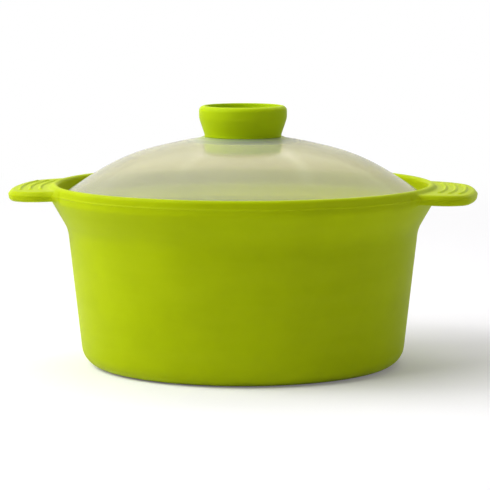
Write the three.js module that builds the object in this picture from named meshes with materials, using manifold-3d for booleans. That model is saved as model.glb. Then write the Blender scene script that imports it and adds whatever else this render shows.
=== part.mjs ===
// Microwave steamer: a silicone pot with two ear handles, a perforated basket that hangs in its rim,
// and a translucent domed lid with a hollow, vented knob.
// Millimetres, +Z up. The origin is the centre of the pot's underside and the ears point along X.

import * as THREE from 'three';
import { mergeVertices } from 'three/addons/utils/BufferGeometryUtils.js';
import Module from 'manifold-3d';

const wasm = await Module();
wasm.setup();

// Space left between pieces that rest on each other or fit into each other.
const GAP = 0.3;

// Pot
const POT_RIM_RADIUS = 98.9;
const POT_HEIGHT = 93.7;
const POT_FOOT_ROUND = 10.5;
const POT_WALL = 3.2;
const POT_FLOOR = 4.6;
const POT_INNER_ROUND = 4.5;
const WALL_DRAFT = 6.3;
const FLARE_SPREAD = 8.7;
const FLARE_RISE = 15.2;
const FLARE_ROUND = 16;
const LIP_HEIGHT = 7.8;
const LIP_THICKNESS = 3.8;
const LIP_ROUND = 5;
const PARTING_BELOW_CREST = 4.4;
const PARTING_WIDTH = 1;
const PARTING_PROUD = 0.3;
const BASE_RECESS = 0.8;
const BASE_RING_WIDTH = 9;

// Ear handles
const EAR_LENGTH = 21.7;
const EAR_WIDTH = 81;
const EAR_CORNER = 15;
const EAR_THICKNESS = 5.4;
const EAR_EDGE_ROUND = 2.5;
const EAR_ROOT_FILLET = 4;
const EAR_DROOP = 2.3;
const EAR_BELOW_CREST = 4.8;
const RIB_COUNT = 3;
const RIB_PITCH = 5.1;
const RIB_SPAN = 54;
const RIB_WIDTH = 1.9;
const RIB_HEIGHT = 0.7;
const RIB_EDGE_MARGIN = 6.2;

// Lid
const LID_SIDE_CLEARANCE = 1.2;
const LID_DOME_RADIUS = 156;
const LID_THICKNESS = 2.2;
const LID_SKIRT = 2.6;
const LID_PAD_THICKNESS = 3;
const LID_PAD_MARGIN = 1.2;
const LID_PAD_RISE = 0.5;

// Knob
const KNOB_HEIGHT = 15.7;
const KNOB_FOOT_RADIUS = 19.8;
const KNOB_FOOT_HEIGHT = 1;
const KNOB_GRIP_RADIUS = 22.6;
const KNOB_GRIP_HEIGHT = 9.3;
const KNOB_MOUTH_RADIUS = 19.3;
const KNOB_CUP_RADIUS = 17.6;
const KNOB_FLOOR = 3.6;

// Knob plug
const PLUG_SKIRT_RADIUS = 19.6;
const PLUG_SKIRT_DEPTH = 5;
const PLUG_WALL = 2.4;
const PLUG_STEM_RADIUS = 8.8;
const PLUG_BORE_RADIUS = 4.2;
const PLUG_CATCH = 1.6;
const PLUG_HEAD = 2.6;

// Steaming basket
const BASKET_HANG = 17;
const BASKET_LIFT = 18.5;
const BASKET_SIDE_CLEARANCE = 2.4;
const BASKET_WALL = 2.6;
const BASKET_CORNER = 4;
const HOLE_RADIUS = 2.6;
const HOLE_PITCH = 18.5;
const HOLE_RINGS = 3;
const GRIP_WIDTH = 34;
const GRIP_REACH = 14;

const TURN_POT = 56;
const TURN_BASKET = 48;
const TURN_KNOB = 32;
const TURN_PLUG = 24;

const rad = THREE.MathUtils.degToRad;

// A corner of a profile: radius from the axis, height, and how far the corner is rounded.
function corner(r, z, round = 0, steps = 4) {
  return { at: new THREE.Vector2(r, z), round, steps };
}

// The points of a profile whose corners are rounded by arcs tangent to both sides.
function rounded(corners) {
  const points = [];
  corners.forEach(({ at, round, steps }, i) => {
    const before = corners[i - 1];
    const after = corners[i + 1];
    if (!round || !before || !after) {
      points.push(at.clone());
      return;
    }
    const toBefore = before.at.clone().sub(at).normalize();
    const toAfter = after.at.clone().sub(at).normalize();
    const half = Math.acos(THREE.MathUtils.clamp(toBefore.dot(toAfter), -1, 1)) / 2;
    const bisector = toBefore.clone().add(toAfter).normalize();
    const centre = at.clone().addScaledVector(bisector, round / Math.sin(half));
    const start = at.clone().addScaledVector(toBefore, round / Math.tan(half)).sub(centre);
    const end = at.clone().addScaledVector(toAfter, round / Math.tan(half)).sub(centre);
    const sweep = Math.atan2(start.cross(end), start.dot(end));
    for (let k = 0; k <= steps; k++) {
      const point = start.clone().rotateAround(new THREE.Vector2(), (sweep * k) / steps);
      points.push(point.add(centre));
    }
  });
  return points;
}

// Points along an arc about x, y, in steps of equal angle.
function arc(x, y, radius, from, to, steps) {
  return Array.from({ length: steps + 1 }, (_, k) => {
    const angle = from + ((to - from) * k) / steps;
    return new THREE.Vector2(x + radius * Math.cos(angle), y + radius * Math.sin(angle));
  });
}

// Where the line through a along u meets the line through b along v.
function meet(a, u, b, v) {
  const t = b.clone().sub(a).cross(v) / u.cross(v);
  return a.clone().addScaledVector(u, t);
}

// A geometry as a closed solid, with its seams merged and its collapsed triangles left out.
function solid(geometry) {
  const bare = geometry.index ? geometry.toNonIndexed() : geometry.clone();
  bare.deleteAttribute('normal');
  bare.deleteAttribute('uv');
  const merged = mergeVertices(bare, 1e-3);
  const index = merged.index.array;
  const kept = [];
  for (let i = 0; i < index.length; i += 3) {
    const [a, b, c] = index.slice(i, i + 3);
    if (a !== b && b !== c && c !== a) {
      kept.push(a, b, c);
    }
  }
  return new wasm.Manifold(
    new wasm.Mesh({
      numProp: 3,
      vertProperties: merged.attributes.position.array,
      triVerts: new Uint32Array(kept),
    }),
  );
}

// A solid turned about the Z axis from a profile that runs anticlockwise in the r, z plane.
function turned(points, segments) {
  return solid(new THREE.LatheGeometry(points, segments).rotateX(Math.PI / 2));
}

function named(name, made, colour, roughness, opacity = 1) {
  const mesh = made.getMesh();
  const geometry = new THREE.BufferGeometry();
  geometry.setAttribute('position', new THREE.BufferAttribute(mesh.vertProperties, 3));
  geometry.setIndex(new THREE.BufferAttribute(mesh.triVerts, 1));
  geometry.computeVertexNormals();
  const material = new THREE.MeshStandardMaterial({
    color: colour,
    roughness,
    opacity,
    transparent: opacity < 1,
  });
  const node = new THREE.Mesh(geometry, material);
  node.name = name;
  return node;
}

// Pot profile: the outside's sharp corners, then the inside's, each side set in by its own thickness.
const draft = Math.tan(rad(WALL_DRAFT));
const lipCorner = new THREE.Vector2(POT_RIM_RADIUS, POT_HEIGHT - LIP_HEIGHT);
const flareCorner = lipCorner.clone().sub(new THREE.Vector2(FLARE_SPREAD, FLARE_RISE));
const footCorner = new THREE.Vector2(flareCorner.x - flareCorner.y * draft, 0);
const along = {
  floor: new THREE.Vector2(1, 0),
  wall: flareCorner.clone().sub(footCorner).normalize(),
  flare: lipCorner.clone().sub(flareCorner).normalize(),
  lip: new THREE.Vector2(0, 1),
};

function inward(direction, distance) {
  return new THREE.Vector2(-direction.y, direction.x).multiplyScalar(distance);
}

const floorInside = new THREE.Vector2(0, POT_FLOOR);
const wallInside = footCorner.clone().add(inward(along.wall, POT_WALL));
const flareInside = flareCorner.clone().add(inward(along.flare, POT_WALL));
const lipInside = lipCorner.clone().add(inward(along.lip, LIP_THICKNESS));
const innerFoot = meet(floorInside, along.floor, wallInside, along.wall);
const innerFlare = meet(wallInside, along.wall, flareInside, along.flare);
const innerLip = meet(flareInside, along.flare, lipInside, along.lip);

const footContact = footCorner.x - POT_FOOT_ROUND * Math.tan(rad(90 - WALL_DRAFT) / 2);
const partingHeight = POT_HEIGHT - PARTING_BELOW_CREST;
const recessRadius = footContact - BASE_RING_WIDTH;
const outerProfile = [
  corner(0, BASE_RECESS),
  corner(recessRadius - BASE_RECESS, BASE_RECESS),
  corner(recessRadius, 0),
  corner(footCorner.x, footCorner.y, POT_FOOT_ROUND, 4),
  corner(flareCorner.x, flareCorner.y, FLARE_ROUND, 3),
  corner(lipCorner.x, lipCorner.y, LIP_ROUND, 2),
  corner(POT_RIM_RADIUS, partingHeight - PARTING_WIDTH / 2),
  corner(POT_RIM_RADIUS + PARTING_PROUD, partingHeight),
  corner(POT_RIM_RADIUS, partingHeight + PARTING_WIDTH / 2),
  corner(POT_RIM_RADIUS, POT_HEIGHT, LIP_THICKNESS * 0.49, 3),
  corner(lipInside.x, POT_HEIGHT, LIP_THICKNESS * 0.49, 3),
  corner(lipInside.x, innerLip.y),
  corner(0, innerLip.y),
];
const innerProfile = [
  corner(0, POT_FLOOR),
  corner(innerFoot.x, innerFoot.y, POT_INNER_ROUND, 3),
  corner(innerFlare.x, innerFlare.y, FLARE_ROUND + POT_WALL, 3),
  corner(innerLip.x, innerLip.y, Math.max(LIP_ROUND - POT_WALL, 1), 2),
  corner(lipInside.x, POT_HEIGHT + 1),
  corner(0, POT_HEIGHT + 1),
];

// Ear handle: a flat tongue with parallel sides and an end that is concentric with the pot, faired into
// the rim on both sides and drooping a little.
const earReach = POT_RIM_RADIUS + EAR_LENGTH;

function earOutline() {
  const half = EAR_WIDTH / 2;
  const cornerY = half - EAR_CORNER;
  const cornerX = Math.sqrt((earReach - EAR_CORNER) ** 2 - cornerY ** 2);
  const atCorner = Math.atan2(cornerY, cornerX);
  const fillet = EAR_ROOT_FILLET;
  const filletY = half + fillet;
  const filletX = Math.sqrt((POT_RIM_RADIUS + fillet) ** 2 - filletY ** 2);
  const atRim = Math.atan2(filletY, filletX);
  const rootX = POT_RIM_RADIUS * Math.cos(atRim) - 2 * LIP_THICKNESS;
  const rootY = POT_RIM_RADIUS * Math.sin(atRim);
  const square = Math.PI / 2;
  return new THREE.Shape([
    new THREE.Vector2(rootX, -rootY),
    ...arc(filletX, -filletY, fillet, Math.PI - atRim, square, 3),
    ...arc(cornerX, -cornerY, EAR_CORNER, -square, -atCorner, 5),
    ...arc(0, 0, earReach, -atCorner, atCorner, 6).slice(1),
    ...arc(cornerX, cornerY, EAR_CORNER, atCorner, square, 5).slice(1),
    ...arc(filletX, filletY, fillet, 3 * square, Math.PI + atRim, 3),
    new THREE.Vector2(rootX, rootY),
  ]);
}

// An ear's geometry is drawn flat, with Z 0 half way through it. It droops about the rim's edge, at the
// height where it leaves the rim, and then turns about the pot to its own side.
function earSolid(geometry, turn) {
  geometry.translate(-POT_RIM_RADIUS, 0, 0).rotateY(rad(EAR_DROOP));
  geometry.translate(POT_RIM_RADIUS, 0, POT_HEIGHT - EAR_BELOW_CREST).rotateZ(turn);
  return solid(geometry);
}

function earBody(turn) {
  const flat = EAR_THICKNESS - 2 * EAR_EDGE_ROUND;
  const geometry = new THREE.ExtrudeGeometry(earOutline(), {
    depth: flat,
    bevelThickness: EAR_EDGE_ROUND,
    bevelSize: EAR_EDGE_ROUND,
    bevelOffset: -EAR_EDGE_ROUND,
    bevelSegments: 2,
  });
  return earSolid(geometry.translate(0, 0, -flat / 2), turn);
}

// A grip rib: a rounded arc on top of the ear, concentric with the ear's end and the pot.
function gripRib(radius, turn) {
  const half = Math.asin(RIB_SPAN / 2 / radius);
  const round = RIB_WIDTH * 0.3;
  const band = new THREE.Shape([
    ...arc(0, 0, radius + RIB_WIDTH / 2, -half, half, 8),
    ...arc(0, 0, radius - RIB_WIDTH / 2, half, -half, 8),
  ]);
  const geometry = new THREE.ExtrudeGeometry(band, {
    depth: RIB_HEIGHT,
    bevelThickness: round,
    bevelSize: round,
    bevelOffset: -round,
    bevelSegments: 1,
  });
  return earSolid(geometry.translate(0, 0, EAR_THICKNESS / 2 - round), turn);
}

function pot() {
  let made = turned(rounded(outerProfile), TURN_POT);
  for (const turn of [0, Math.PI]) {
    made = made.add(earBody(turn));
    for (let i = 0; i < RIB_COUNT; i++) {
      made = made.add(gripRib(earReach - RIB_EDGE_MARGIN - i * RIB_PITCH, turn));
    }
  }
  return made.subtract(turned(rounded(innerProfile), TURN_POT));
}

// The height at which the inside of the flare has a given radius, a gap's width in from its surface.
function flareSeat(radius) {
  const slope = along.flare.x / along.flare.y;
  return flareInside.y + (radius + GAP / along.flare.y - flareInside.x) / slope;
}

// The radius inside the flare at a given height, a gap's width in from its surface.
function flareReach(height) {
  const slope = along.flare.x / along.flare.y;
  return flareInside.x + (height - flareInside.y) * slope - GAP / along.flare.y;
}

// The lid's skirt rests on the inside of the flare, so its height follows from its radius.
const lidRadius = lipInside.x - LID_SIDE_CLEARANCE;
const lidBottom = flareSeat(lidRadius);
const lidEdge = lidBottom + LID_SKIRT;
const domeCentre = lidEdge - Math.sqrt(LID_DOME_RADIUS ** 2 - lidRadius ** 2);

function domeHeight(r, radius) {
  return domeCentre + Math.sqrt(radius ** 2 - r ** 2);
}

// Points along a dome from radius a to radius b.
function domeArc(a, b, radius, steps) {
  return Array.from({ length: steps + 1 }, (_, k) => {
    const r = a + ((b - a) * k) / steps;
    return corner(r, domeHeight(r, radius));
  });
}

const padRadius = KNOB_FOOT_RADIUS + LID_PAD_MARGIN;
const padTop = domeHeight(padRadius, LID_DOME_RADIUS) + LID_PAD_RISE;
const padBottom = padTop - LID_PAD_THICKNESS;
const holeRadius = PLUG_STEM_RADIUS + GAP;

function lid() {
  const skirtInside = lidRadius - LID_THICKNESS;
  const inner = LID_DOME_RADIUS - LID_THICKNESS;
  const padInside = Math.sqrt(inner ** 2 - (padBottom - domeCentre) ** 2);
  return turned(
    rounded([
      corner(holeRadius, padTop),
      corner(holeRadius, padBottom),
      ...domeArc(padInside, skirtInside, inner, 6),
      corner(skirtInside, lidBottom, 0.7, 1),
      corner(lidRadius, lidBottom, 0.7, 1),
      corner(lidRadius, lidEdge, 0.6, 1),
      ...domeArc(lidRadius - 2, padRadius + 1.5, LID_DOME_RADIUS, 6),
      corner(padRadius, padTop, 0.6, 1),
      corner(holeRadius, padTop),
    ]),
    TURN_POT,
  );
}

const knobBottom = padTop + GAP;
const knobTop = knobBottom + KNOB_HEIGHT;
const knobFloorTop = knobBottom + KNOB_FLOOR;

function knob() {
  const crest = KNOB_GRIP_RADIUS - KNOB_MOUTH_RADIUS;
  return turned(
    rounded([
      corner(holeRadius, knobFloorTop),
      corner(holeRadius, knobBottom),
      corner(KNOB_FOOT_RADIUS, knobBottom, 0.4, 1),
      corner(KNOB_FOOT_RADIUS, knobBottom + KNOB_FOOT_HEIGHT, 2, 1),
      corner(KNOB_GRIP_RADIUS, knobBottom + KNOB_GRIP_HEIGHT, 9, 3),
      corner(KNOB_GRIP_RADIUS, knobTop, crest * 0.8, 4),
      corner(KNOB_MOUTH_RADIUS, knobTop, crest * 0.18, 1),
      corner(KNOB_CUP_RADIUS, knobFloorTop, 2, 2),
      corner(holeRadius, knobFloorTop),
    ]),
    TURN_KNOB,
  );
}

// The plug is pushed up from below: its skirt stays under the lid and its head snaps over the knob's floor.
function knobPlug() {
  const top = padBottom - GAP;
  const bottom = top - PLUG_SKIRT_DEPTH;
  const headBottom = knobFloorTop + GAP;
  const headTop = headBottom + PLUG_HEAD;
  const hollow = PLUG_SKIRT_RADIUS - PLUG_WALL;
  const boss = PLUG_BORE_RADIUS + PLUG_WALL;
  return turned(
    rounded([
      corner(PLUG_BORE_RADIUS, headTop),
      corner(PLUG_BORE_RADIUS, bottom),
      corner(boss, bottom, 0.6, 1),
      corner(boss, top - PLUG_WALL, 1, 1),
      corner(hollow, top - PLUG_WALL, 1, 1),
      corner(hollow, bottom, 0.7, 1),
      corner(PLUG_SKIRT_RADIUS, bottom, 0.9, 2),
      corner(PLUG_SKIRT_RADIUS, top, 0.6, 1),
      corner(PLUG_STEM_RADIUS, top),
      corner(PLUG_STEM_RADIUS, headBottom),
      corner(PLUG_STEM_RADIUS + PLUG_CATCH, headBottom, 0.4, 1),
      corner(PLUG_STEM_RADIUS + PLUG_CATCH / 2, headTop, 1, 2),
      corner(PLUG_BORE_RADIUS, headTop),
    ]),
    TURN_PLUG,
  );
}

// Steaming basket: a perforated bowl parallel to the pot's wall, hanging by its rim inside the flare.
const basketRim = POT_HEIGHT - BASKET_HANG;
const basketTop = basketRim + BASKET_WALL;
const basketUnder = POT_FLOOR + BASKET_LIFT;
const basketFloor = basketUnder + BASKET_WALL;

// The inside radius of the pot's straight wall at a height, less a space that stays free along it.
function wallReach(height, space) {
  return wallInside.x + (height - wallInside.y) * draft - space / along.wall.y;
}

function steamHole(x, y) {
  const drill = new THREE.CylinderGeometry(HOLE_RADIUS, HOLE_RADIUS, 3 * BASKET_WALL, 8);
  return solid(drill.rotateX(Math.PI / 2).translate(x, y, basketUnder + BASKET_WALL / 2));
}

// A lifting grip: a rounded tongue that reaches in from the basket's rim, where fingers can pinch it. Its
// root is buried in the wall.
function liftingGrip(turn) {
  const half = GRIP_WIDTH / 2;
  const root = Math.sqrt(wallReach(basketRim, BASKET_SIDE_CLEARANCE) ** 2 - half ** 2);
  const tip = wallReach(basketRim, BASKET_SIDE_CLEARANCE + BASKET_WALL) - GRIP_REACH;
  const round = Math.min(half, root - tip) * 0.85;
  const edge = BASKET_WALL * 0.3;
  const shape = new THREE.Shape(
    rounded([
      corner(root, half),
      corner(tip, half, round, 5),
      corner(tip, -half, round, 5),
      corner(root, -half),
    ]),
  );
  const geometry = new THREE.ExtrudeGeometry(shape, {
    depth: BASKET_WALL - 2 * edge,
    bevelThickness: edge,
    bevelSize: edge,
    bevelOffset: -edge,
    bevelSegments: 1,
  });
  return solid(geometry.translate(0, 0, basketRim + edge).rotateZ(turn));
}

function steamingBasket() {
  const outside = BASKET_SIDE_CLEARANCE;
  const inside = BASKET_SIDE_CLEARANCE + BASKET_WALL;
  let basket = turned(
    rounded([
      corner(0, basketUnder),
      corner(wallReach(basketUnder, outside), basketUnder, BASKET_CORNER + BASKET_WALL, 3),
      corner(wallReach(basketRim, outside), basketRim),
      corner(flareReach(basketRim), basketRim, 0.6, 1),
      corner(flareReach(basketRim), basketTop, 0.9, 2),
      corner(wallReach(basketTop, inside), basketTop, 0.9, 2),
      corner(wallReach(basketFloor, inside), basketFloor, BASKET_CORNER, 3),
      corner(0, basketFloor),
    ]),
    TURN_BASKET,
  );
  basket = basket.add(liftingGrip(0)).add(liftingGrip(Math.PI)).subtract(steamHole(0, 0));
  for (let ring = 1; ring <= HOLE_RINGS; ring++) {
    for (let i = 0; i < 6 * ring; i++) {
      const angle = (i * Math.PI) / (3 * ring);
      const r = ring * HOLE_PITCH;
      basket = basket.subtract(steamHole(r * Math.cos(angle), r * Math.sin(angle)));
    }
  }
  return basket;
}

const GREEN = 0xa6c418;
const PALE_GREEN = 0xb8cf4a;
const MILKY = 0xe6e2cf;

const steamer = new THREE.Group();
steamer.name = 'microwave_steamer';
steamer.add(named('pot', pot(), GREEN, 0.45));
steamer.add(named('steaming_basket', steamingBasket(), GREEN, 0.5));
steamer.add(named('lid', lid(), MILKY, 0.3, 0.6));
steamer.add(named('knob', knob(), GREEN, 0.45));
steamer.add(named('knob_plug', knobPlug(), PALE_GREEN, 0.5));

export default steamer;
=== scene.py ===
"""Microwave steamer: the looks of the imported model, sized in millimetres and built in metres."""

import math

import bpy
import numpy as np
from mathutils import Matrix, Quaternion, Vector
from mathutils.geometry import delaunay_2d_cdt


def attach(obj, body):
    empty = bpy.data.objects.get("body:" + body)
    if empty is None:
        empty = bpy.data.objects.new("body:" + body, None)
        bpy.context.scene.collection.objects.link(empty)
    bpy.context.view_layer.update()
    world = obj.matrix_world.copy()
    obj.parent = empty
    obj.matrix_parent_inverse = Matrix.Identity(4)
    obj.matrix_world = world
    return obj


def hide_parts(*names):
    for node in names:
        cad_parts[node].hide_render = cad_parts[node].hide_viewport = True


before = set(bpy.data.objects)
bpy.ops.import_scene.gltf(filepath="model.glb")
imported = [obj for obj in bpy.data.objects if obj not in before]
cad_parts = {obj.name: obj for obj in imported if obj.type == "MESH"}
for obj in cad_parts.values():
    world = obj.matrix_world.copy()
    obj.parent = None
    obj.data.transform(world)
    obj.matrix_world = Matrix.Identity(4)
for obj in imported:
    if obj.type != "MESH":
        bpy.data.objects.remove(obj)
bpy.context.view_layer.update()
scene = bpy.context.scene

MM = 0.001


# Profiles


def direction(dx, dz):
    return np.array((dx, dz)) / math.hypot(dx, dz)


def inward(along, distance):
    """Across a profile's direction, to its left."""
    return np.array((-along[1], along[0])) * distance


def meet(a, u, b, v):
    """Where the line through a along u meets the line through b along v."""
    gap = np.asarray(b) - np.asarray(a)
    return np.asarray(a) + u * (gap[0] * v[1] - gap[1] * v[0]) / (u[0] * v[1] - u[1] * v[0])


def rounded(corners, turn=7.0):
    """Points of a profile of corners (r, z) or (r, z, round), each arc stepped by about turn degrees."""
    points = []
    for i, (r, z, *radius) in enumerate(corners):
        at = np.array((r, z), float)
        if not radius:
            points.append(at)
            continue
        back = direction(*(np.array(corners[i - 1][:2]) - at))
        ahead = direction(*(np.array(corners[(i + 1) % len(corners)][:2]) - at))
        half = math.acos(np.clip(back @ ahead, -1, 1)) / 2
        centre = at + direction(*(back + ahead)) * radius[0] / math.sin(half)
        start = at + back * radius[0] / math.tan(half) - centre
        end = at + ahead * radius[0] / math.tan(half) - centre
        sweep = math.atan2(start[0] * end[1] - start[1] * end[0], start @ end)
        steps = max(2, math.ceil(abs(math.degrees(sweep)) / turn))
        for k in range(steps + 1):
            c, s = math.cos(sweep * k / steps), math.sin(sweep * k / steps)
            points.append(centre + (c * start[0] - s * start[1], s * start[0] + c * start[1]))
    return np.array(points)


def filled(points, longest):
    """The same profile with its long straight runs divided."""
    out = [points[0]]
    for a, b in zip(points, points[1:]):
        pieces = max(1, math.ceil(np.linalg.norm(b - a) / longest))
        out += [a + (b - a) * k / pieces for k in range(1, pieces + 1)]
    return np.array(out)


def loop(profile, longest):
    """A profile that comes round to its start, with its long straight runs divided."""
    return filled(np.vstack((profile, profile[:1])), longest)[:-1]


def evenly(path, count, weight=None):
    """A path of points shared out evenly by its length, or by its length times a weight per span."""
    spans = np.linalg.norm(np.diff(path, axis=0), axis=1)
    reach = np.concatenate(([0], np.cumsum(spans * (1 if weight is None else weight))))
    at = np.linspace(0, reach[-1], count)
    return np.stack([np.interp(at, reach, path[:, k]) for k in (0, 1)], 1)


# Meshes


def piece(name, vertices, faces, finish, body, slot, *nodes):
    """A smooth mesh in place of the CAD nodes that it names, moving with a body."""
    mesh = bpy.data.meshes.new(name)
    mesh.from_pydata(vertices, [], faces)
    mesh.validate()
    mesh.shade_smooth()
    mesh.materials.append(finish)
    made = bpy.data.objects.new(name, mesh)
    scene.collection.objects.link(made)
    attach(made, body)
    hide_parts(*nodes)


def skin(turns, rings, closed=False):
    """Vertices and faces of a surface round the Z axis.

    turns holds the angle of each column. rings holds r, z for each column and row, the rows running
    anticlockwise in the r, z plane. An open profile starts and ends on the axis, a closed one comes round.
    """
    columns = len(rings)
    r, z = rings[..., 0] * MM, rings[..., 1] * MM
    grid = np.stack((r * np.cos(turns)[:, None], r * np.sin(turns)[:, None], z), 2)
    if not closed:
        grid = grid[:, 1:-1]
    count = grid.shape[1]
    vertices = [tuple(v) for v in grid.reshape(-1, 3)]
    faces = []
    for i in range(columns):
        here, there = i * count, (i + 1) % columns * count
        for j in range(count if closed else count - 1):
            k = (j + 1) % count
            faces.append((here + j, there + j, there + k, here + k))
    if not closed:
        first, last = len(vertices), len(vertices) + 1
        vertices += [(0, 0, z[0, 0]), (0, 0, z[0, -1])]
        for i in range(columns):
            here, there = i * count, (i + 1) % columns * count
            faces.append((first, there, here))
            faces.append((last, here + count - 1, there + count - 1))
    return vertices, faces


def full_turn(columns):
    return np.linspace(0, 2 * math.pi, columns, endpoint=False)


def circle(sides):
    """Points at radius 1."""
    turns = full_turn(sides)
    return np.stack((np.cos(turns), np.sin(turns)), 1)


def turned(profile, columns):
    """A closed profile turned round the Z axis."""
    return skin(full_turn(columns), np.broadcast_to(profile, (columns, *profile.shape)), True)


def melt(a, b, width):
    """The smaller of two distances, eased over a width where they are close, like a fillet."""
    near = np.maximum(width - np.abs(a - b), 0) / width
    return np.minimum(a, b) - near * near * width / 4


def edged(u, v, radius):
    """Distance from a solid with two faces at distances u and v, the edge between them rounded."""
    u, v = u + radius, v + radius
    return np.hypot(np.maximum(u, 0), np.maximum(v, 0)) + np.minimum(np.maximum(u, v), 0) - radius


def distances(outline, low, high, step):
    """A function of r, z: the distance from a closed outline, negative inside, read from a fine grid."""
    rs = np.arange(low[0], high[0] + step, step)
    zs = np.arange(low[1], high[1] + step, step)
    r, z = np.meshgrid(rs, zs, indexing="ij")
    nearest = np.full(r.shape, 1e9)
    inside = np.zeros(r.shape, bool)
    for (ar, az), (br, bz) in zip(outline, np.roll(outline, -1, 0)):
        length = (br - ar) ** 2 + (bz - az) ** 2
        if length < 1e-12:
            continue
        t = np.clip(((r - ar) * (br - ar) + (z - az) * (bz - az)) / length, 0, 1)
        nearest = np.minimum(nearest, np.hypot(r - ar - t * (br - ar), z - az - t * (bz - az)))
        if az != bz:
            inside ^= ((az > z) != (bz > z)) & (r < ar + (z - az) * (br - ar) / (bz - az))
    field = np.where(inside, -nearest, nearest)

    def read(r, z):
        i = np.clip((r - low[0]) / step, 0, len(rs) - 1.001)
        j = np.clip((z - low[1]) / step, 0, len(zs) - 1.001)
        i0, j0 = i.astype(int), j.astype(int)
        u, v = i - i0, j - j0
        a = field[i0, j0] * (1 - u) + field[i0 + 1, j0] * u
        b = field[i0, j0 + 1] * (1 - u) + field[i0 + 1, j0 + 1] * u
        return a * (1 - v) + b * v

    return read


def settled(rings, field, rounds=14):
    """The rings moved onto the surface where the field is zero, ends held and rows kept even."""
    rings = rings.copy()
    probe, furthest, flattest, last_rounds = 0.04, 0.6, 0.2, 4
    for k in range(rounds):
        r, z = rings[:, 1:-1, 0], rings[:, 1:-1, 1]
        dr = (field(r + probe, z) - field(r - probe, z)) / (2 * probe)
        dz = (field(r, z + probe) - field(r, z - probe)) / (2 * probe)
        pull = field(r, z) / np.maximum(dr * dr + dz * dz, flattest)
        pull = np.clip(pull, -furthest, furthest)
        rings[:, 1:-1, 0] -= pull * dr
        rings[:, 1:-1, 1] -= pull * dz
        if k < rounds - last_rounds:
            middle = (rings[:, :-2] + rings[:, 2:]) / 2 - rings[:, 1:-1]
            along = rings[:, 2:] - rings[:, :-2]
            along /= np.maximum(np.linalg.norm(along, axis=2, keepdims=True), 1e-9)
            rings[:, 1:-1] += 0.5 * (middle * along).sum(2, keepdims=True) * along
    return rings


def eased(x, low, high):
    """0 below low, 1 above high, with a smooth rise between."""
    t = np.clip((x - low) / (high - low), 0, 1)
    return t * t * (3 - 2 * t)


# Finishes


SEEN_BY = ("Camera", "Glossy", "Transmission")
WHITE = (1, 1, 1, 1)
BLACK = (0, 0, 0, 1)


class Value:
    """A socket in a node tree. Arithmetic on it adds Math nodes."""

    def __init__(self, finish, socket):
        self.finish = finish
        self.socket = socket

    def _math(self, operation, a, b):
        return self.finish.node("ShaderNodeMath", {"operation": operation}, {0: a, 1: b})

    def __add__(self, other):
        return self._math("ADD", self, other)

    __radd__ = __add__

    def __sub__(self, other):
        return self._math("SUBTRACT", self, other)

    def __rsub__(self, other):
        return self._math("SUBTRACT", other, self)

    def __mul__(self, other):
        return self._math("MULTIPLY", self, other)

    __rmul__ = __mul__

    def most(self, other):
        return self._math("MAXIMUM", self, other)

    def rise(self, low, high):
        """0 below low and 1 above high, with a smooth rise between."""
        return self.finish.node(
            "ShaderNodeMapRange",
            {"interpolation_type": "SMOOTHSTEP"},
            {"Value": self, "From Min": low, "From Max": high, "To Min": 0.0, "To Max": 1.0},
        )


class Finish:
    """A node tree that is built by name: a material's or the world's."""

    def __init__(self, owner):
        owner.use_nodes = True
        self.tree = owner.node_tree
        self.tree.nodes.clear()

    def node(self, kind, settings=None, inputs=None, output=0):
        """Any node with its settings, and values or links for its sockets. Gives one of its outputs."""
        made = self.tree.nodes.new(kind)
        for name, value in (settings or {}).items():
            setattr(made, name, value)
        for name, value in (inputs or {}).items():
            if isinstance(value, Value):
                self.tree.links.new(value.socket, made.inputs[name])
            else:
                made.inputs[name].default_value = value
        return Value(self, made.outputs[output]) if made.outputs else None

    def noise(self, where, scale, detail=2.0, roughness=0.5):
        return self.node(
            "ShaderNodeTexNoise",
            inputs={"Vector": where, "Scale": scale, "Detail": detail, "Roughness": roughness},
        )

    def blend(self, share, a, b):
        """A mix of two colours."""
        return self.node("ShaderNodeMix", {"data_type": "RGBA"}, {0: share, 6: a, 7: b}, output=2)

    def vector(self, operation, a, b):
        return self.node("ShaderNodeVectorMath", {"operation": operation}, {0: a, 1: b})

    def length(self, vector):
        return self.node("ShaderNodeVectorMath", {"operation": "LENGTH"}, {0: vector}, output="Value")

    def stretched(self, where, scale):
        return self.node("ShaderNodeMapping", inputs={"Vector": where, "Scale": scale})

    def bump(self, height, strength, depth):
        inputs = {"Height": height, "Strength": strength, "Distance": depth}
        return self.node("ShaderNodeBump", inputs=inputs)

    def place(self):
        return self.node("ShaderNodeTexCoord", output="Object")

    def mix(self, share, a, b):
        """A mix of two surfaces."""
        return self.node("ShaderNodeMixShader", inputs={0: share, 1: a, 2: b})

    def seen(self):
        """1 for what the camera sees directly, or in gloss or through the lid."""
        rays = [self.node("ShaderNodeLightPath", output=f"Is {kind} Ray") for kind in SEEN_BY]
        return rays[0].most(rays[1]).most(rays[2])

    def ends(self, surface, kind="ShaderNodeOutputMaterial"):
        self.node(kind, inputs={"Surface": surface})


def material(name):
    made = bpy.data.materials.new(name)
    return made, Finish(made)


def shade(colour, amount):
    return (*(c * amount for c in colour), 1.0)


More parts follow.
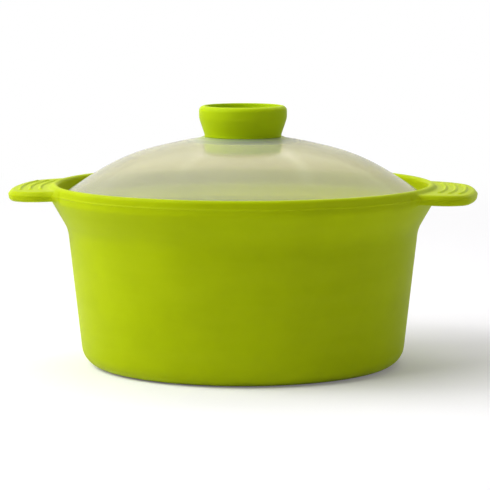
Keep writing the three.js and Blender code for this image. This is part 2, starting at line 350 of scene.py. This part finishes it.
def silicone(name, colour, pale, roughness=0.46):
    """Moulded silicone: satin, faintly mottled, with a fine mould grain and a few pale specks."""
    made, f = material(name)
    where = f.place()
    cloud = f.noise(where, 34.0, 3.0, 0.55)
    streak = f.noise(f.stretched(where, (1, 1, 7)), 18.0, 2.0)
    grain = f.noise(where, 2600.0, 2.0, 0.6)
    speck = f.noise(where, 900.0, 1.0).rise(0.735, 0.77)
    body = f.blend(cloud.rise(0.3, 0.72), shade(colour, 0.955), shade(colour, 1.04))
    body = f.blend(streak.rise(0.35, 0.7) * 0.35, body, shade(pale, 0.97))
    body = f.blend(speck * 0.35, body, (*pale, 1.0))
    surface = f.node(
        "ShaderNodeBsdfPrincipled",
        inputs={
            "Base Color": body,
            "Roughness": roughness - 0.05 + 0.1 * cloud + 0.06 * grain,
            "IOR": 1.41,
            "Specular IOR Level": 0.05,
            "Subsurface Weight": 0.5,
            "Subsurface Radius": (1.0, 0.95, 0.1),
            "Subsurface Scale": 0.003,
            "Normal": f.bump(grain + 0.4 * cloud, 0.16, 0.00012),
        },
    )
    f.ends(surface)
    return made


def milky_plastic(name, centre, radius):
    """A translucent dome about a centre height: clear, tinted on its outer face, with a milky haze that is
    painted green under the knob to stand in for the knob's reflection and the plug seen through.
    """
    made, f = material(name)
    where = f.place()
    flow = f.noise(where, 22.0, 3.0, 0.5)
    fine = f.noise(where, 1500.0, 2.0, 0.6)
    scuff = f.noise(f.stretched(where, (9, 1, 1)), 90.0, 4.0)
    from_centre = f.length(f.vector("SUBTRACT", where, (0, 0, centre * MM)))
    outer = from_centre.rise((radius - 0.4) * MM, (radius + 0.4) * MM)
    tint = f.blend(flow.rise(0.3, 0.7), (0.48, 0.41, 0.18, 1), (0.505, 0.435, 0.2, 1))
    tint = f.blend(outer, (0.98, 0.98, 0.96, 1), tint)
    normal = f.bump(fine + 0.5 * flow, 0.012, 0.0001)
    clear = f.node(
        "ShaderNodeBsdfPrincipled",
        inputs={
            "Base Color": tint,
            "Roughness": 0.18 + 0.03 * flow + 0.04 * scuff.rise(0.5, 0.75),
            "IOR": 1.05,
            "Transmission Weight": 1.0,
            "Coat Weight": 0.28 * outer,
            "Coat Roughness": 0.16,
            "Coat IOR": 1.45,
            "Normal": normal,
        },
    )
    from_axis = f.length(f.vector("MULTIPLY", where, (1, 1, 0)))
    # Under the knob the haze is thicker and painted green: painted reflection of the green knob and the
    # green plug seen through the lid.
    knob_seat_haze_and_painted_green = 1 - from_axis.rise(19.5 * MM, 27 * MM)
    near_boss = 1 - from_axis.rise(20 * MM, 38 * MM)
    haze = 0.13 + 0.05 * flow + 0.12 * near_boss + 0.25 * knob_seat_haze_and_painted_green
    haze_colour_and_painted_green = f.blend(knob_seat_haze_and_painted_green, (0.82, 0.86, 0.88, 1), (0.5, 0.63, 0.22, 1))
    cloud = f.node(
        "ShaderNodeBsdfPrincipled",
        inputs={"Base Color": haze_colour_and_painted_green, "Roughness": 1.0, "Specular IOR Level": 0.0, "Normal": normal},
    )
    passing = f.node("ShaderNodeBsdfTransparent", inputs={"Color": (0.9, 0.88, 0.75, 1)})
    shadow = f.node("ShaderNodeLightPath", output="Is Shadow Ray")
    f.ends(f.mix(shadow * 0.85, f.mix(haze, clear, cloud), passing))
    return made


def white_paper(name):
    """Paper that takes a shadow near the object and fades to plain white, as the camera sees it."""
    made, f = material(name)
    where = f.place()
    near = 1 - f.length(where).rise(0.25, 1.1)
    fibre = f.noise(where, 700.0, 3.0, 0.6)
    pulp = f.blend(fibre.rise(0.3, 0.7), (0.84, 0.84, 0.835, 1), (0.86, 0.86, 0.855, 1))
    paper = f.node(
        "ShaderNodeBsdfPrincipled",
        inputs={"Base Color": pulp, "Roughness": 1.0, "Specular IOR Level": 0.0},
    )
    glow = f.blend(f.seen(), BLACK, (0.135, 0.122, 0.145, 1))
    lift = f.node("ShaderNodeEmission", inputs={"Color": glow})
    lit = f.node("ShaderNodeAddShader", inputs={0: paper, 1: lift})
    white = f.node("ShaderNodeEmission", inputs={"Color": WHITE, "Strength": 1.0})
    f.ends(f.mix(f.seen() * (1 - near), lit, white))
    return made


def white_studio(name):
    """A world that is white to look at and leaves the light to the lamps."""
    made = bpy.data.worlds.new(name)
    f = Finish(made)
    backdrop = f.node("ShaderNodeBackground", inputs={"Color": WHITE, "Strength": f.seen()})
    f.ends(backdrop, "ShaderNodeOutputWorld")
    return made


GREEN = (0.40, 0.50, 0.001)
PALE = (0.45, 0.55, 0.006)
pot_silicone = silicone("pot silicone", GREEN, PALE)
basket_silicone = silicone("basket silicone", GREEN, PALE)
knob_silicone = silicone("knob silicone", (0.43, 0.575, 0.003), (0.47, 0.615, 0.008))
plug_silicone = silicone("plug silicone", (0.5, 0.66, 0.09), (0.55, 0.7, 0.12))


# Pot

GAP = 0.3
RIM_RADIUS, POT_HEIGHT, POT_WALL, POT_FLOOR = 98.9, 93.7, 3.2, 4.6
LIP_HEIGHT, LIP_THICKNESS, LIP_ROUND = 7.8, 3.8, 5.0
LIP_CREST_ROUND = LIP_THICKNESS * 0.49
FLARE_SPREAD, FLARE_RISE, FLARE_ROUND = 8.7, 15.2, 16.0
FOOT_ROUND, FOOT_RING, FOOT_RECESS, INNER_FOOT_ROUND = 10.5, 9.0, 0.8, 4.5
DRAFT = math.radians(6.3)
lip_corner = np.array((RIM_RADIUS, POT_HEIGHT - LIP_HEIGHT))
flare_corner = lip_corner - (FLARE_SPREAD, FLARE_RISE)
foot_corner = np.array((flare_corner[0] - flare_corner[1] * math.tan(DRAFT), 0))
wall_way = direction(*(flare_corner - foot_corner))
flare_way = direction(*(lip_corner - flare_corner))
wall_inside = foot_corner + inward(wall_way, POT_WALL)
flare_inside = flare_corner + inward(flare_way, POT_WALL)
lip_inside = lip_corner + inward((0, 1), LIP_THICKNESS)
inner_foot = meet((0, POT_FLOOR), np.array((1.0, 0)), wall_inside, wall_way)
inner_flare = meet(wall_inside, wall_way, flare_inside, flare_way)
inner_lip = meet(flare_inside, flare_way, lip_inside, np.array((0, 1.0)))
foot_contact = foot_corner[0] - FOOT_ROUND * math.tan(math.pi / 4 - DRAFT / 2)
recess = foot_contact - FOOT_RING
pot_profile = rounded(
    [
        (0, FOOT_RECESS),
        (recess - FOOT_RECESS, FOOT_RECESS, 0.6),
        (recess, 0, 0.5),
        (*foot_corner, FOOT_ROUND),
        (*flare_corner, FLARE_ROUND),
        (*lip_corner, LIP_ROUND),
        (RIM_RADIUS, POT_HEIGHT, LIP_CREST_ROUND),
        (lip_inside[0], POT_HEIGHT, LIP_CREST_ROUND),
        (*inner_lip, LIP_ROUND - POT_WALL),
        (*inner_flare, FLARE_ROUND + POT_WALL),
        (*inner_foot, INNER_FOOT_ROUND),
        (0, POT_FLOOR),
    ],
    turn=6,
)

EAR_LENGTH, EAR_SIDE, EAR_CORNER, EAR_BELOW_CREST = 21.4, 40.5, 15.0, 4.8
EAR_HALF, EAR_EDGE, EAR_ROOT, EAR_FILLET = 2.7, 2.5, 7.0, 2.0
EAR_REACH = RIM_RADIUS + EAR_LENGTH
EAR_MIDDLE = POT_HEIGHT - EAR_BELOW_CREST
EAR_DROOP = math.tan(math.radians(2.3))
EAR_ANGLE, EAR_FADE, EAR_FADE_DEPTH = 30.0, 26.5, 5.0
RIB_COUNT, RIB_PITCH, RIB_MARGIN = 3, 5.1, 5.9
RIB_WIDTH, RIB_HEIGHT, RIB_REACH, RIB_RUNOUT = 2.5, 0.75, 27.0, 2.5
PARTING_PROUD, PARTING_WIDTH, PARTING_BELOW_CREST = 0.28, 0.42, 4.4
PARTING_ON_EAR, PARTING_LEAVES, PARTING_RETURNS = 0.7, 18.0, 28.0
EAR_ROWS, EAR_COLUMNS, SIDE_COLUMNS = 132, 265, 50
LIP_FROM, NEAR_LIP_FROM = 80.5, 72.0
LIP_FIELD = (91, 76), (123, 97), 0.1


def ear_outside(x, y):
    """Distance outside an ear's outline from above: an end round the pot's axis, straight sides."""
    return edged(np.hypot(x, y) - EAR_REACH, np.abs(y) - EAR_SIDE, EAR_CORNER)


def ear_height(x):
    """The height of the middle of an ear's thickness."""
    return EAR_MIDDLE - EAR_DROOP * (x - RIM_RADIUS)


def pot_columns():
    """Angles round the pot, close together on the ears."""
    ear = np.linspace(-EAR_ANGLE, EAR_ANGLE, EAR_COLUMNS)
    side = np.linspace(EAR_ANGLE, 180 - EAR_ANGLE, SIDE_COLUMNS)[1:-1]
    return np.radians(np.concatenate((ear, side, ear + 180, side + 180)))


def first_ring(lip, c, s):
    """Rows over the lip in one direction, out round the ear where there is one."""
    r = np.linspace(RIM_RADIUS, EAR_REACH, 300)
    within = r[ear_outside(r * c, r * s) < 0]
    if len(within) == 0:
        return evenly(lip, EAR_ROWS)
    r = RIM_RADIUS + (within[-1] - RIM_RADIUS) * (1 - np.linspace(1, 0, 60) ** 2)
    depth = np.clip(-ear_outside(r * c, r * s), 0, EAR_EDGE)
    half = EAR_HALF - EAR_EDGE + np.sqrt(EAR_EDGE**2 - (EAR_EDGE - depth) ** 2)
    middle = ear_height(r * c)
    under = np.stack((r, middle - half), 1)
    over = np.stack((r, middle + half), 1)[::-1]
    start = lip[(lip[:, 1] < under[0, 1]) & (lip[:, 0] < RIM_RADIUS + 0.1)]
    end = lip[lip[:, 1] > over[-1, 1]]
    path = np.vstack((start, under, over, end))
    weight = np.ones(len(path) - 1)
    # The upper face has the ribs, so its rows are twice as close.
    weight[len(start) + len(under) :] = 2.0
    return evenly(path, EAR_ROWS, weight)


def pot_shell():
    """The turned pot, its lip drawn out into ears by settling the rows there onto the joined solids."""
    turns = pot_columns()
    off_ear = np.abs((turns + math.pi / 2) % math.pi - math.pi / 2)
    profile = filled(pot_profile, 2.6)
    crest = np.array(((RIM_RADIUS + lip_inside[0]) / 2, POT_HEIGHT))
    top = int(np.argmin(np.hypot(*(profile - crest).T)))
    low = next(i for i in range(top) if profile[i, 1] > LIP_FROM)
    below, lip = profile[: low + 1], np.vstack((profile[low:top], crest))
    inside = np.vstack((crest, profile[top + 1 :]))
    near_lip = np.vstack((profile[low - 4 : top], inside[inside[:, 1] > NEAR_LIP_FROM]))
    plain = distances(near_lip, *LIP_FIELD)
    cos, sin = np.cos(off_ear)[:, None], np.sin(off_ear)[:, None]
    apart = np.degrees(off_ear)[:, None]

    def field(r, z):
        x, y = r * cos, r * sin
        outside = melt(ear_outside(x, y), r - RIM_RADIUS, EAR_ROOT)
        outside = outside + EAR_FADE_DEPTH * eased(apart, EAR_FADE, EAR_ANGLE)
        height = z - ear_height(x)
        half = np.full_like(height, EAR_HALF)
        for k in range(RIB_COUNT):
            across = (r - (EAR_REACH - RIB_MARGIN - k * RIB_PITCH)) / RIB_WIDTH
            swell = np.cos(np.clip(across, -0.5, 0.5) * math.pi) ** 1.5
            swell = swell * (1 - eased(np.abs(y), RIB_REACH - RIB_RUNOUT, RIB_REACH))
            half = half + np.where(height > 0, RIB_HEIGHT * swell, 0)
        solid = melt(plain(r, z), edged(outside, np.abs(height) - half, EAR_EDGE), EAR_FILLET)
        on_ear = 1 - eased(apart, PARTING_LEAVES, PARTING_RETURNS)
        parting = (POT_HEIGHT - PARTING_BELOW_CREST) * (1 - on_ear)
        parting = parting + (ear_height(x) + PARTING_ON_EAR) * on_ear
        return solid - PARTING_PROUD * np.exp(-(((z - parting) / PARTING_WIDTH) ** 2))

    rings = np.array([first_ring(lip, math.cos(angle), math.sin(angle)) for angle in off_ear])
    lip_rings = settled(rings, field)
    below = np.broadcast_to(below, (len(turns), *below.shape))
    inside = np.broadcast_to(inside, (len(turns), *inside.shape))
    return skin(turns, np.concatenate((below, lip_rings[:, 1:-1], inside), 1))


piece("pot_shell", *pot_shell(), pot_silicone, "pot", "pot_silicone", "pot")


# Steaming basket

BASKET_WALL, BASKET_SPACE, BASKET_CORNER = 2.6, 2.4, 4.0
HOLE_RADIUS, HOLE_EDGE, HOLE_PITCH, HOLE_RINGS = 2.6, 0.7, 18.5, 3
BASKET_HANG, BASKET_LIFT, BASKET_FLAT = 17.0, 18.5, 62.0
GRIP_HALF, GRIP_REACH, GRIP_BURIED, GRIP_SUNK, GRIP_ROWS = 17.0, 14.0, 1.6, 0.15, 9
basket_rim = POT_HEIGHT - BASKET_HANG
basket_top = basket_rim + BASKET_WALL
basket_under = POT_FLOOR + BASKET_LIFT
basket_floor = basket_under + BASKET_WALL
flare_slope = flare_way[0] / flare_way[1]


def wall_reach(height, space):
    """The inside radius of the pot's straight wall at a height, less a space that stays free along it."""
    return wall_inside[0] + (height - wall_inside[1]) * math.tan(DRAFT) - space / wall_way[1]


def lifting_grip(side):
    """A tongue with rounded edges that reaches in from the basket's rim."""
    root = math.sqrt(wall_reach(basket_rim, BASKET_SPACE) ** 2 - GRIP_HALF**2)
    tip = wall_reach(basket_rim, BASKET_SPACE + BASKET_WALL) - GRIP_REACH
    bend = (root - tip) * 0.85
    end = root + GRIP_BURIED
    outline = [(end, GRIP_HALF), (tip, GRIP_HALF, bend), (tip, -GRIP_HALF, bend), (end, -GRIP_HALF)]
    plan = filled(rounded(outline), 2.0)
    way = np.roll(plan, -1, 0) - np.roll(plan, 1, 0)
    way /= np.linalg.norm(way, axis=1)[:, None]
    to_middle = np.stack((-way[:, 1], way[:, 0]), 1)
    to_middle[[0, -1]] = (0, -1), (0, 1)
    half, edge = BASKET_WALL / 2 - GRIP_SUNK, BASKET_WALL * 0.4
    middle = basket_rim + BASKET_WALL / 2
    vertices = []
    for angle in np.radians(np.linspace(-90, 90, GRIP_ROWS)):
        ring = plan + to_middle * edge * (1 - math.cos(angle))
        height = middle + math.copysign(half - edge, angle) + edge * math.sin(angle)
        vertices += [(side * x * MM, side * y * MM, height * MM) for x, y in ring]
    count = len(plan)
    last = (GRIP_ROWS - 1) * count
    faces = [tuple(range(count))[::-1], tuple(range(last, last + count))]
    for j in range(GRIP_ROWS - 1):
        for i in range(count):
            k = (i + 1) % count
            faces.append((j * count + i, j * count + k, (j + 1) * count + k, (j + 1) * count + i))
    return vertices, faces


def perforated_bowl():
    """The basket without its grips: a floor with round holes, and a wall turned up to a rim."""
    columns, sides = 144, 28
    outer, inner = BASKET_SPACE, BASKET_SPACE + BASKET_WALL
    reach = flare_inside[0] + (basket_rim - flare_inside[1]) * flare_slope - GAP / flare_way[1]
    wall = filled(
        rounded(
            [
                (BASKET_FLAT, basket_under),
                (wall_reach(basket_under, outer), basket_under, BASKET_CORNER + BASKET_WALL),
                (wall_reach(basket_rim, outer), basket_rim, 1.2),
                (reach, basket_rim, 0.6),
                (reach, basket_top, 0.9),
                (wall_reach(basket_top, inner), basket_top, 0.9),
                (wall_reach(basket_floor, inner), basket_floor, BASKET_CORNER),
                (BASKET_FLAT, basket_floor),
            ]
        ),
        3.0,
    )
    mouth = HOLE_RADIUS + HOLE_EDGE
    bore = rounded(
        [
            (mouth, basket_floor),
            (HOLE_RADIUS, basket_floor, HOLE_EDGE),
            (HOLE_RADIUS, basket_under, HOLE_EDGE),
            (mouth, basket_under),
        ],
        turn=22,
    )[2:-2]
    holes = [(0.0, 0.0)]
    for ring in range(1, HOLE_RINGS + 1):
        for i in range(6 * ring):
            angle = i * math.pi / (3 * ring)
            holes.append((ring * HOLE_PITCH * math.cos(angle), ring * HOLE_PITCH * math.sin(angle)))
    round_floor, round_hole = circle(columns), circle(sides)
    plan = np.concatenate([round_floor * BASKET_FLAT] + [round_hole * mouth + hole for hole in holes])
    firsts = [columns + sides * h for h in range(len(holes))]
    loops = [list(range(columns))] + [list(range(first, first + sides)) for first in firsts]
    edges = [(ring[k - 1], ring[k]) for ring in loops for k in range(len(ring))]
    found = delaunay_2d_cdt([Vector(p) for p in plan], edges, [], 0, 1e-6)
    above = len(plan)
    vertices = [(x * MM, y * MM, basket_under * MM) for x, y in plan]
    vertices += [(x * MM, y * MM, basket_floor * MM) for x, y in plan]
    faces = []
    for triangle in found[2]:
        a, b, c = (found[3][i][0] for i in triangle)
        # A triangle with all its corners on one hole lies in that hole.
        owners = {(i - columns) // sides for i in (a, b, c)}
        if min(a, b, c) >= columns and len(owners) == 1:
            continue
        faces += [(a + above, b + above, c + above), (c, b, a)]

    def strip(first_row, rings, last_row):
        """Faces from one row of vertex numbers to another, over rings of new points between them."""
        rows = [first_row]
        for points, height in rings:
            rows.append(list(range(len(vertices), len(vertices) + len(points))))
            vertices.extend((x * MM, y * MM, height * MM) for x, y in points)
        rows.append(last_row)
        for here, there in zip(rows, rows[1:]):
            for i in range(len(here)):
                faces.append((here[i - 1], here[i], there[i], there[i - 1]))

    for ring, hole in zip(loops[1:], holes):
        rings = [(round_hole * radius + hole, height) for radius, height in bore]
        strip([i + above for i in ring], rings, ring)
    rings = [(round_floor * radius, height) for radius, height in wall[1:-1]]
    strip(loops[0], rings, [i + above for i in loops[0]])
    return vertices, faces


def joined(*parts):
    """Several meshes as one."""
    vertices, faces = [], []
    for some, their_faces in parts:
        first = len(vertices)
        vertices += some
        faces += [tuple(i + first for i in face) for face in their_faces]
    return vertices, faces


basket = joined(perforated_bowl(), lifting_grip(1), lifting_grip(-1))
piece("perforated_basket", *basket, basket_silicone, "basket", "basket_silicone", "steaming_basket")


# Lid, knob and plug

LID_CLEARANCE, LID_THICKNESS, LID_SKIRT = 1.2, 2.2, 2.6
DOME_RADIUS, DOME_FULLER, FULLER_FROM, FULLER_TO = 156.0, 0.85, 34.0, 88.0
PAD_MARGIN, PAD_RISE, PAD_THICKNESS = 1.2, 0.5, 3.0
LID_RADIUS = lip_inside[0] - LID_CLEARANCE
lid_bottom = flare_inside[1] + (LID_RADIUS + GAP / flare_way[1] - flare_inside[0]) / flare_slope
lid_edge = lid_bottom + LID_SKIRT
dome_centre = lid_edge - math.sqrt(DOME_RADIUS**2 - LID_RADIUS**2)


def dome(a, b, radius, steps):
    """Points over the dome between two radii, a little fuller than a sphere half way down."""
    points = []
    for r in np.linspace(a, b, steps + 1):
        down = np.clip((r - FULLER_FROM) / (FULLER_TO - FULLER_FROM), 0, 1)
        fuller = DOME_FULLER * math.sin(math.pi * down) ** 2
        points.append((r, dome_centre + math.sqrt(radius**2 - r**2) + fuller))
    return points


KNOB_HEIGHT, KNOB_FOOT_RADIUS, KNOB_FOOT_HEIGHT, KNOB_SEAT = 15.7, 19.8, 1.0, 0.08
KNOB_RADIUS, KNOB_WIDEST, KNOB_FLOOR = 22.6, 9.3, 3.6
MOUTH_RADIUS, CUP_RADIUS, STEM_RADIUS = 19.3, 17.6, 8.8
pad_radius = KNOB_FOOT_RADIUS + PAD_MARGIN
pad_top = dome_centre + math.sqrt(DOME_RADIUS**2 - pad_radius**2) + PAD_RISE
pad_bottom = pad_top - PAD_THICKNESS
hole_radius = STEM_RADIUS + GAP
skirt_inside = LID_RADIUS - LID_THICKNESS
inner_dome = DOME_RADIUS - LID_THICKNESS
pad_inside = math.sqrt(inner_dome**2 - (pad_bottom - dome_centre) ** 2)
lid_profile = rounded(
    [
        (hole_radius, pad_top, 0.5),
        (hole_radius, pad_bottom, 0.5),
        *dome(pad_inside, skirt_inside, inner_dome, 48),
        (skirt_inside, lid_bottom, 0.7),
        (LID_RADIUS, lid_bottom, 0.8),
        (LID_RADIUS, lid_edge, 0.8),
        *dome(LID_RADIUS - 1.6, pad_radius + 1.6, DOME_RADIUS, 52),
        (pad_radius, pad_top, 0.7),
    ]
)
lid_plastic = milky_plastic("milky lid plastic", dome_centre, DOME_RADIUS - LID_THICKNESS / 2)
lid_shell = turned(loop(lid_profile, 1.6), 288)
piece("milky_lid", *lid_shell, lid_plastic, "lid", "lid_plastic", "lid")

knob_bottom = pad_top + GAP
knob_top = knob_bottom + KNOB_HEIGHT
knob_seat = pad_top + KNOB_SEAT
cup_floor = knob_bottom + KNOB_FLOOR
knob_rim = KNOB_RADIUS - MOUTH_RADIUS
knob_profile = rounded(
    [
        (hole_radius, cup_floor, 0.4),
        (hole_radius, knob_seat, 0.3),
        (KNOB_FOOT_RADIUS, knob_seat, 0.3),
        (KNOB_FOOT_RADIUS, knob_bottom + KNOB_FOOT_HEIGHT, 2),
        (KNOB_RADIUS, knob_bottom + KNOB_WIDEST, 9),
        (KNOB_RADIUS, knob_top, knob_rim * 0.8),
        (MOUTH_RADIUS, knob_top, knob_rim * 0.18),
        (CUP_RADIUS, cup_floor, 2),
    ]
)
knob_shell = turned(loop(knob_profile, 0.8), 160)
piece("hollow_knob", *knob_shell, knob_silicone, "lid", "knob_silicone", "knob")

BORE_RADIUS, SKIRT_RADIUS, SKIRT_DEPTH, PLUG_WALL = 4.2, 19.6, 5.0, 2.4
PLUG_HEAD, PLUG_CATCH = 2.6, 1.6
plug_top = pad_bottom - GAP
plug_bottom = plug_top - SKIRT_DEPTH
head_bottom = cup_floor + GAP
head_top = head_bottom + PLUG_HEAD
plug_profile = rounded(
    [
        (BORE_RADIUS, head_top, 0.5),
        (BORE_RADIUS, plug_bottom, 0.4),
        (BORE_RADIUS + PLUG_WALL, plug_bottom, 0.6),
        (BORE_RADIUS + PLUG_WALL, plug_top - PLUG_WALL, 1),
        (SKIRT_RADIUS - PLUG_WALL, plug_top - PLUG_WALL, 1),
        (SKIRT_RADIUS - PLUG_WALL, plug_bottom, 0.7),
        (SKIRT_RADIUS, plug_bottom, 0.9),
        (SKIRT_RADIUS, plug_top, 0.6),
        (STEM_RADIUS, plug_top, 0.3),
        (STEM_RADIUS, head_bottom, 0.3),
        (STEM_RADIUS + PLUG_CATCH, head_bottom, 0.4),
        (STEM_RADIUS + PLUG_CATCH / 2, head_top, 1),
    ]
)
plug_shell = turned(loop(plug_profile, 0.8), 112)
piece("vented_plug", *plug_shell, plug_silicone, "lid", "plug_silicone", "knob_plug")


# Camera, light and floor

STUDIO = Matrix.Rotation(math.radians(5.6), 4, "Z")
CAMERA_AT, CAMERA_DOWN = (0.00103, -1.283, 0.2121), 6.71
FLOOR_REACH = 14.0
camera_data = bpy.data.cameras.new("camera")
camera_data.lens = 183.67
camera_data.sensor_width = 36
camera = bpy.data.objects.new("camera", camera_data)
scene.collection.objects.link(camera)
camera_tilt = Matrix.Rotation(math.radians(90 - CAMERA_DOWN), 4, "X")
camera.matrix_world = STUDIO @ Matrix.Translation(CAMERA_AT) @ camera_tilt
bpy.context.scene.camera = camera


def softbox(name, at, aim, width, height, watts, turn=0.0):
    """A rectangular lamp, turned by some degrees about the way it faces."""
    data = bpy.data.lights.new(name, "AREA")
    data.shape = "RECTANGLE"
    data.size, data.size_y = width, height
    data.energy = watts
    lamp = bpy.data.objects.new(name, data)
    scene.collection.objects.link(lamp)
    place, target = STUDIO @ Vector(at), STUDIO @ Vector(aim)
    lamp.location = place
    facing = (target - place).to_track_quat("-Z", "Y")
    lamp.rotation_euler = (facing @ Quaternion((0, 0, 1), math.radians(turn))).to_euler()


softbox("key", (-1.1, 0.1, 0.8), (0, 0, 0.05), 0.7, 0.7, 9.8)
softbox("left", (-0.88, -0.56, 0.98), (0, 0, 0.06), 0.9, 0.9, 11.6)
softbox("back", (0.0, 0.9, 1.25), (0, 0, 0.05), 2.6, 1.4, 11.8)
softbox("top", (0.0, 0.0, 1.5), (0, 0, 0.05), 1.6, 1.6, 6.6)
softbox("right", (1.2, 0.3, 0.5), (0, 0, 0.06), 0.8, 0.8, 1.4)
softbox("low right", (0.9, -0.7, 0.22), (0, 0, 0.06), 0.6, 0.4, 1.3)
softbox("strip left", (-0.25, 1.15, 1.1), (-0.25, 1.15, 0), 0.04, 1.3, 0.3, -3)
softbox("strip right", (0.26, 1.15, 1.1), (0.26, 1.15, 0), 0.05, 1.3, 0.6, 13)

scene.view_settings.view_transform = "Standard"
scene.world = white_studio("white studio")

floor_mesh = bpy.data.meshes.new("studio_floor")
floor_corners = [(FLOOR_REACH * x, FLOOR_REACH * y, 0) for x, y in ((-1, -1), (1, -1), (1, 1), (-1, 1))]
floor_mesh.from_pydata(floor_corners, [], [(0, 1, 2, 3)])
floor = bpy.data.objects.new("studio_floor", floor_mesh)
scene.collection.objects.link(floor)
floor_mesh.materials.append(white_paper("white paper floor"))
